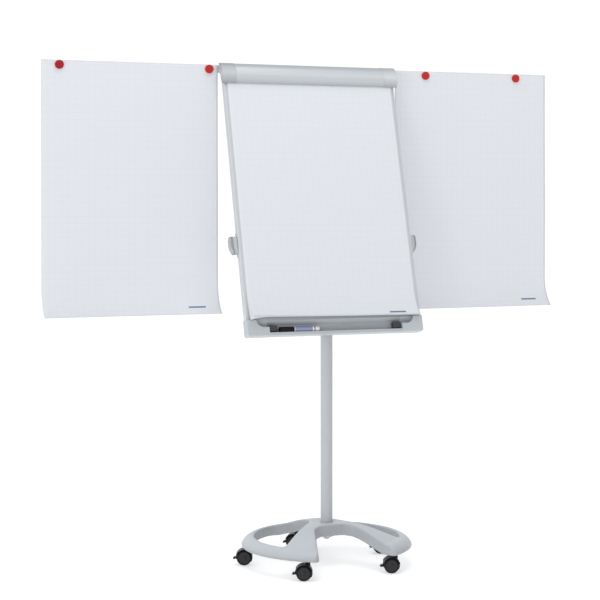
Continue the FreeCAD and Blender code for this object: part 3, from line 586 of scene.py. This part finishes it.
BARREL_PROFILE = ((0, 0, 0), (0, 2.2, 0), (2, 2.9, 0), (14, 2.9, 1), (14.2, 4.6, 1), (20, 5.6, 1),
                  (26, 6.9, 1), (39.8, 6.9, 1), (40, 9.7, 1), (41, 9.95, 1), (43, 9.95, 2),
                  (112, 9.95, 1), (118, 9.95, 3), (123, 9.95, 1), (138, 9.95, 1), (139.5, 9.3, 1),
                  (140, 8.0, 1), (140, 0, 1))
CAP_PROFILE = ((8.2, 0, 0), (8.2, 7.3, 0), (56.4, 7.3, 0), (56.6, 7.6, 0), (56.6, 10.4, 0),
               (56.2, 10.9, 0), (12, 10.9, 0), (11, 10.2, 0), (9.6, 10.2, 0), (8.6, 10.7, 0),
               (2, 10.3, 0), (0.5, 9.4, 0), (0, 8, 0), (0, 0, 0))


def marker():
    low_cap, high_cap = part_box("marker_cap")
    middle_y = (low_cap.y + high_cap.y) / 2
    middle_z = (low_cap.z + high_cap.z) / 2
    low_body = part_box("marker_body")[0]
    ahead = Vector((1, 0, 0))
    barrel = turned("marker_barrel", Vector((low_body.x, middle_y, middle_z)), ahead, BARREL_PROFILE)
    barrel = add_piece("marker_barrel", barrel, "marker",
                       ["marker_black", "marker_white", "marker_blue", "marker_grey"])
    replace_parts(crisp(barrel), "marker_body")
    cap = turned("marker_top", Vector((low_cap.x, middle_y, middle_z)), ahead, CAP_PROFILE)
    cap = add_piece("marker_top", cap, "marker_cap", ["marker_black"])
    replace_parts(crisp(cap), "marker_cap")


marker()

CASTER_CIRCLE = 294
CASTER_TURNS = (90, 162, 234, 306, 18)      # round the column, and the way each caster trails
TRAIL_TURNS = (150, 158, 158, 161, 166)
TRAIL = 15
WHEEL_RADIUS = 28
WHEEL_PROFILE = ((-19.3, 0, 1), (-19.3, 6.5, 1), (-18.4, 7.6, 1), (-17.8, 9, 1), (-18.6, 19.5, 1),
                 (-19.1, 21, 0), (-19.3, 22.4, 0), (-18.7, 25.2, 0), (-16.6, 27.2, 0), (-12.5, 27.95, 0),
                 (-8, 27.7, 0), (-5.9, 26.4, 0), (-5.7, 24, 0), (-5.7, 3.9, 0), (0, 3.9, 0))


def twin_wheels(number):
    """Two dished wheels on one axle, mirrored across the caster's middle plane."""
    around = math.radians(CASTER_TURNS[number - 1])
    trail = math.radians(TRAIL_TURNS[number - 1])
    hub = standing(CASTER_CIRCLE * math.cos(around) + TRAIL * math.cos(trail),
                   CASTER_CIRCLE * math.sin(around) + TRAIL * math.sin(trail), WHEEL_RADIUS)
    axle = Vector((-math.sin(trail), math.cos(trail), 0))
    outward = list(reversed(WHEEL_PROFILE[:-1]))
    tints = [row[2] for row in outward[1:]] + [1]
    rows = list(WHEEL_PROFILE)
    rows += [(-along, radius, tint) for (along, radius, _), tint in zip(outward, tints)]
    mesh = turned(f"wheels_{number}", hub, axle, rows, segments=40)
    piece = add_piece(f"wheels_{number}", mesh, f"caster_{number}_wheels",
                      ["wheel_plastic", "wheel_face"])
    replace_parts(crisp(piece, 40), f"caster_{number}_wheels")


for number in range(1, 6):
    twin_wheels(number)

SHAFT_UP = 346
GRIP_FACE = 353.2
GRIP_TURNS = 56
GRIP_MIDDLE_Y, GRIP_HALF_Y, GRIP_HALF_Z = 29, 18.8, 33.8
# Rows of a grip: mm out from the board, width share, height share, tint of the band above.
GRIP_ROWS = ((GRIP_FACE, 1, 1, 0), (368, 1, 1, 1), (374.5, 0.985, 0.99, 1), (376.3, 0.95, 0.97, 1),
             (376.9, 0.89, 0.93, 1), (376.4, 0.80, 0.87, 2), (374.6, 0.74, 0.82, 2), (372.4, 0.62, 0.72, 2),
             (371.2, 0.40, 0.48, 2), (370.9, 0, 0, 2))


def squared_off(value):
    """Pushes a sine or cosine outwards, so that a circle becomes a rounded rectangle."""
    return math.copysign(abs(value) ** 0.5, value)


def grip(side, sign):
    """Cross handle's end: a rounded pod, cut back below, with a paler rim and a finger dish."""
    rings = []
    for out, wide, tall, _ in GRIP_ROWS:
        if wide == 0:
            rings.append([board(sign * out, GRIP_MIDDLE_Y, SHAFT_UP)])
            continue
        ring = []
        for k in range(GRIP_TURNS):
            turn = math.tau * k / GRIP_TURNS
            across = squared_off(math.cos(turn)) * GRIP_HALF_Y * wide
            rise = squared_off(math.sin(turn)) * GRIP_HALF_Z * tall
            cut_back = max(0.0, -rise / GRIP_HALF_Z - 0.25) * 0.62
            reach = GRIP_FACE + (out - GRIP_FACE) * (1 - cut_back)
            ring.append(board(sign * reach, GRIP_MIDDLE_Y + across, SHAFT_UP + rise))
        rings.append(ring)
    rings.insert(0, [board(sign * GRIP_FACE, GRIP_MIDDLE_Y, SHAFT_UP)])
    mesh = skin(bpy.data.meshes.new(f"grip_{side}"), rings, [0] + [row[3] for row in GRIP_ROWS])
    piece = add_piece(f"grip_{side}", mesh, "release",
                      ["handle_side", "handle_rim", "handle_dish"])
    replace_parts(crisp(piece, 50), f"release_handle_{side}")


grip("left", -1)
grip("right", 1)


CAST_VOXEL = 0.0028
CAST_ROUNDS = 14


def cast_skin():
    """The base with the soft edges of a sand casting."""
    source = NODES["base_casting"]
    mesh = source.data.copy()
    mesh.name = "base_skin"
    mesh.transform(source.matrix_world)
    mesh.materials.clear()
    piece = add_piece("base_skin", mesh, "base", ["base_paint"])
    remesh = piece.modifiers.new("even skin", "REMESH")
    remesh.mode = "VOXEL"
    remesh.voxel_size = CAST_VOXEL
    remesh.use_smooth_shade = True
    soften = piece.modifiers.new("soft edges", "SMOOTH")
    soften.factor = 0.5
    soften.iterations = CAST_ROUNDS
    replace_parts(piece, "base_casting")


cast_skin()


# ---- floor, light and camera ----
FLOOR_REACH = 60
FLOOR_GLOW = 0.46
SKY_STRENGTH = 0.935
LENS = 101.06
SENSOR = 36
LENS_SHIFT = -0.1645
EYE = (-2466.4, -5818.5, 1358.7)
EYE_BEARING = -22.07    # degrees from the board's own front, towards its left


def floor():
    mesh = bpy.data.meshes.new("floor")
    corners = [(x * FLOOR_REACH, y * FLOOR_REACH, 0) for x, y in ((-1, -1), (1, -1), (1, 1), (-1, 1))]
    mesh.from_pydata(corners, [], [(0, 1, 2, 3)])
    plane = bpy.data.objects.new("floor", mesh)
    bpy.context.scene.collection.objects.link(plane)
    material = bpy.data.materials.new("floor")
    material.use_nodes = True
    tree = material.node_tree
    shader = tree.nodes["Principled BSDF"]
    broad = noise_of(tree, stretched(tree, (1, 1, 1)), 2.0, 4.0)
    tree.links.new(ramp_of(tree, broad, (0.80, 0.80, 0.80), (0.83, 0.83, 0.83)),
                   shader.inputs["Base Color"])
    shader.inputs["Roughness"].default_value = 0.8
    shader.inputs["Emission Color"].default_value = (1, 1, 1, 1)
    shader.inputs["Emission Strength"].default_value = FLOOR_GLOW
    mesh.materials.append(material)


def softbox(name, place, target, size, power):
    data = bpy.data.lights.new(name, "AREA")
    data.shape = "DISK"
    data.size = size
    data.energy = power
    lamp = bpy.data.objects.new(name, data)
    lamp.location = place
    lamp.rotation_euler = (target - place).to_track_quat("-Z", "Y").to_euler()
    bpy.context.scene.collection.objects.link(lamp)


def studio_world():
    """Pale surroundings, dimmer overhead and on the right, as in a studio tent."""
    world = bpy.data.worlds.new("studio")
    bpy.context.scene.world = world
    world.use_nodes = True
    tree = world.node_tree
    background = tree.nodes["Background"]
    coordinate = tree.nodes.new("ShaderNodeTexCoord")
    split = tree.nodes.new("ShaderNodeSeparateXYZ")
    tree.links.new(coordinate.outputs["Generated"], split.inputs["Vector"])
    overhead = ramp_of(tree, split.outputs["Z"], (1.0, 1.0, 1.0), (0.66, 0.67, 0.69), 0.15, 0.85)
    leftward = math_of(tree, "MULTIPLY_ADD", split.outputs["X"], -0.45, 0.5)
    bearing = math_of(tree, "MULTIPLY_ADD", split.outputs["Y"], 0.225, leftward)
    walls = ramp_of(tree, bearing, (0.46, 0.46, 0.46), (1.08, 1.08, 1.08), 0.03, 0.40)
    bright = walls.node.color_ramp.elements.new(0.95)
    bright.color = (1.2, 1.2, 1.2, 1)
    tree.links.new(multiplied(tree, overhead, walls), background.inputs["Color"])
    background.inputs["Strength"].default_value = SKY_STRENGTH


def camera():
    data = bpy.data.cameras.new("camera")
    data.lens = LENS
    data.sensor_width = SENSOR
    data.shift_y = LENS_SHIFT
    data.clip_end = 200
    eye = bpy.data.objects.new("camera", data)
    eye.location = standing(*EYE)
    eye.rotation_euler = (math.radians(90), 0, math.radians(EYE_BEARING))
    bpy.context.scene.collection.objects.link(eye)
    bpy.context.scene.camera = eye


floor()
studio_world()
softbox("key", standing(-6500, -5100, 2270), standing(0, 0, 1500), 1.5, 44)
softbox("top", standing(-300, -1000, 5000), standing(0, 0, 300), 2.5, 42)
camera()
bpy.context.scene.view_settings.view_transform = "Standard"
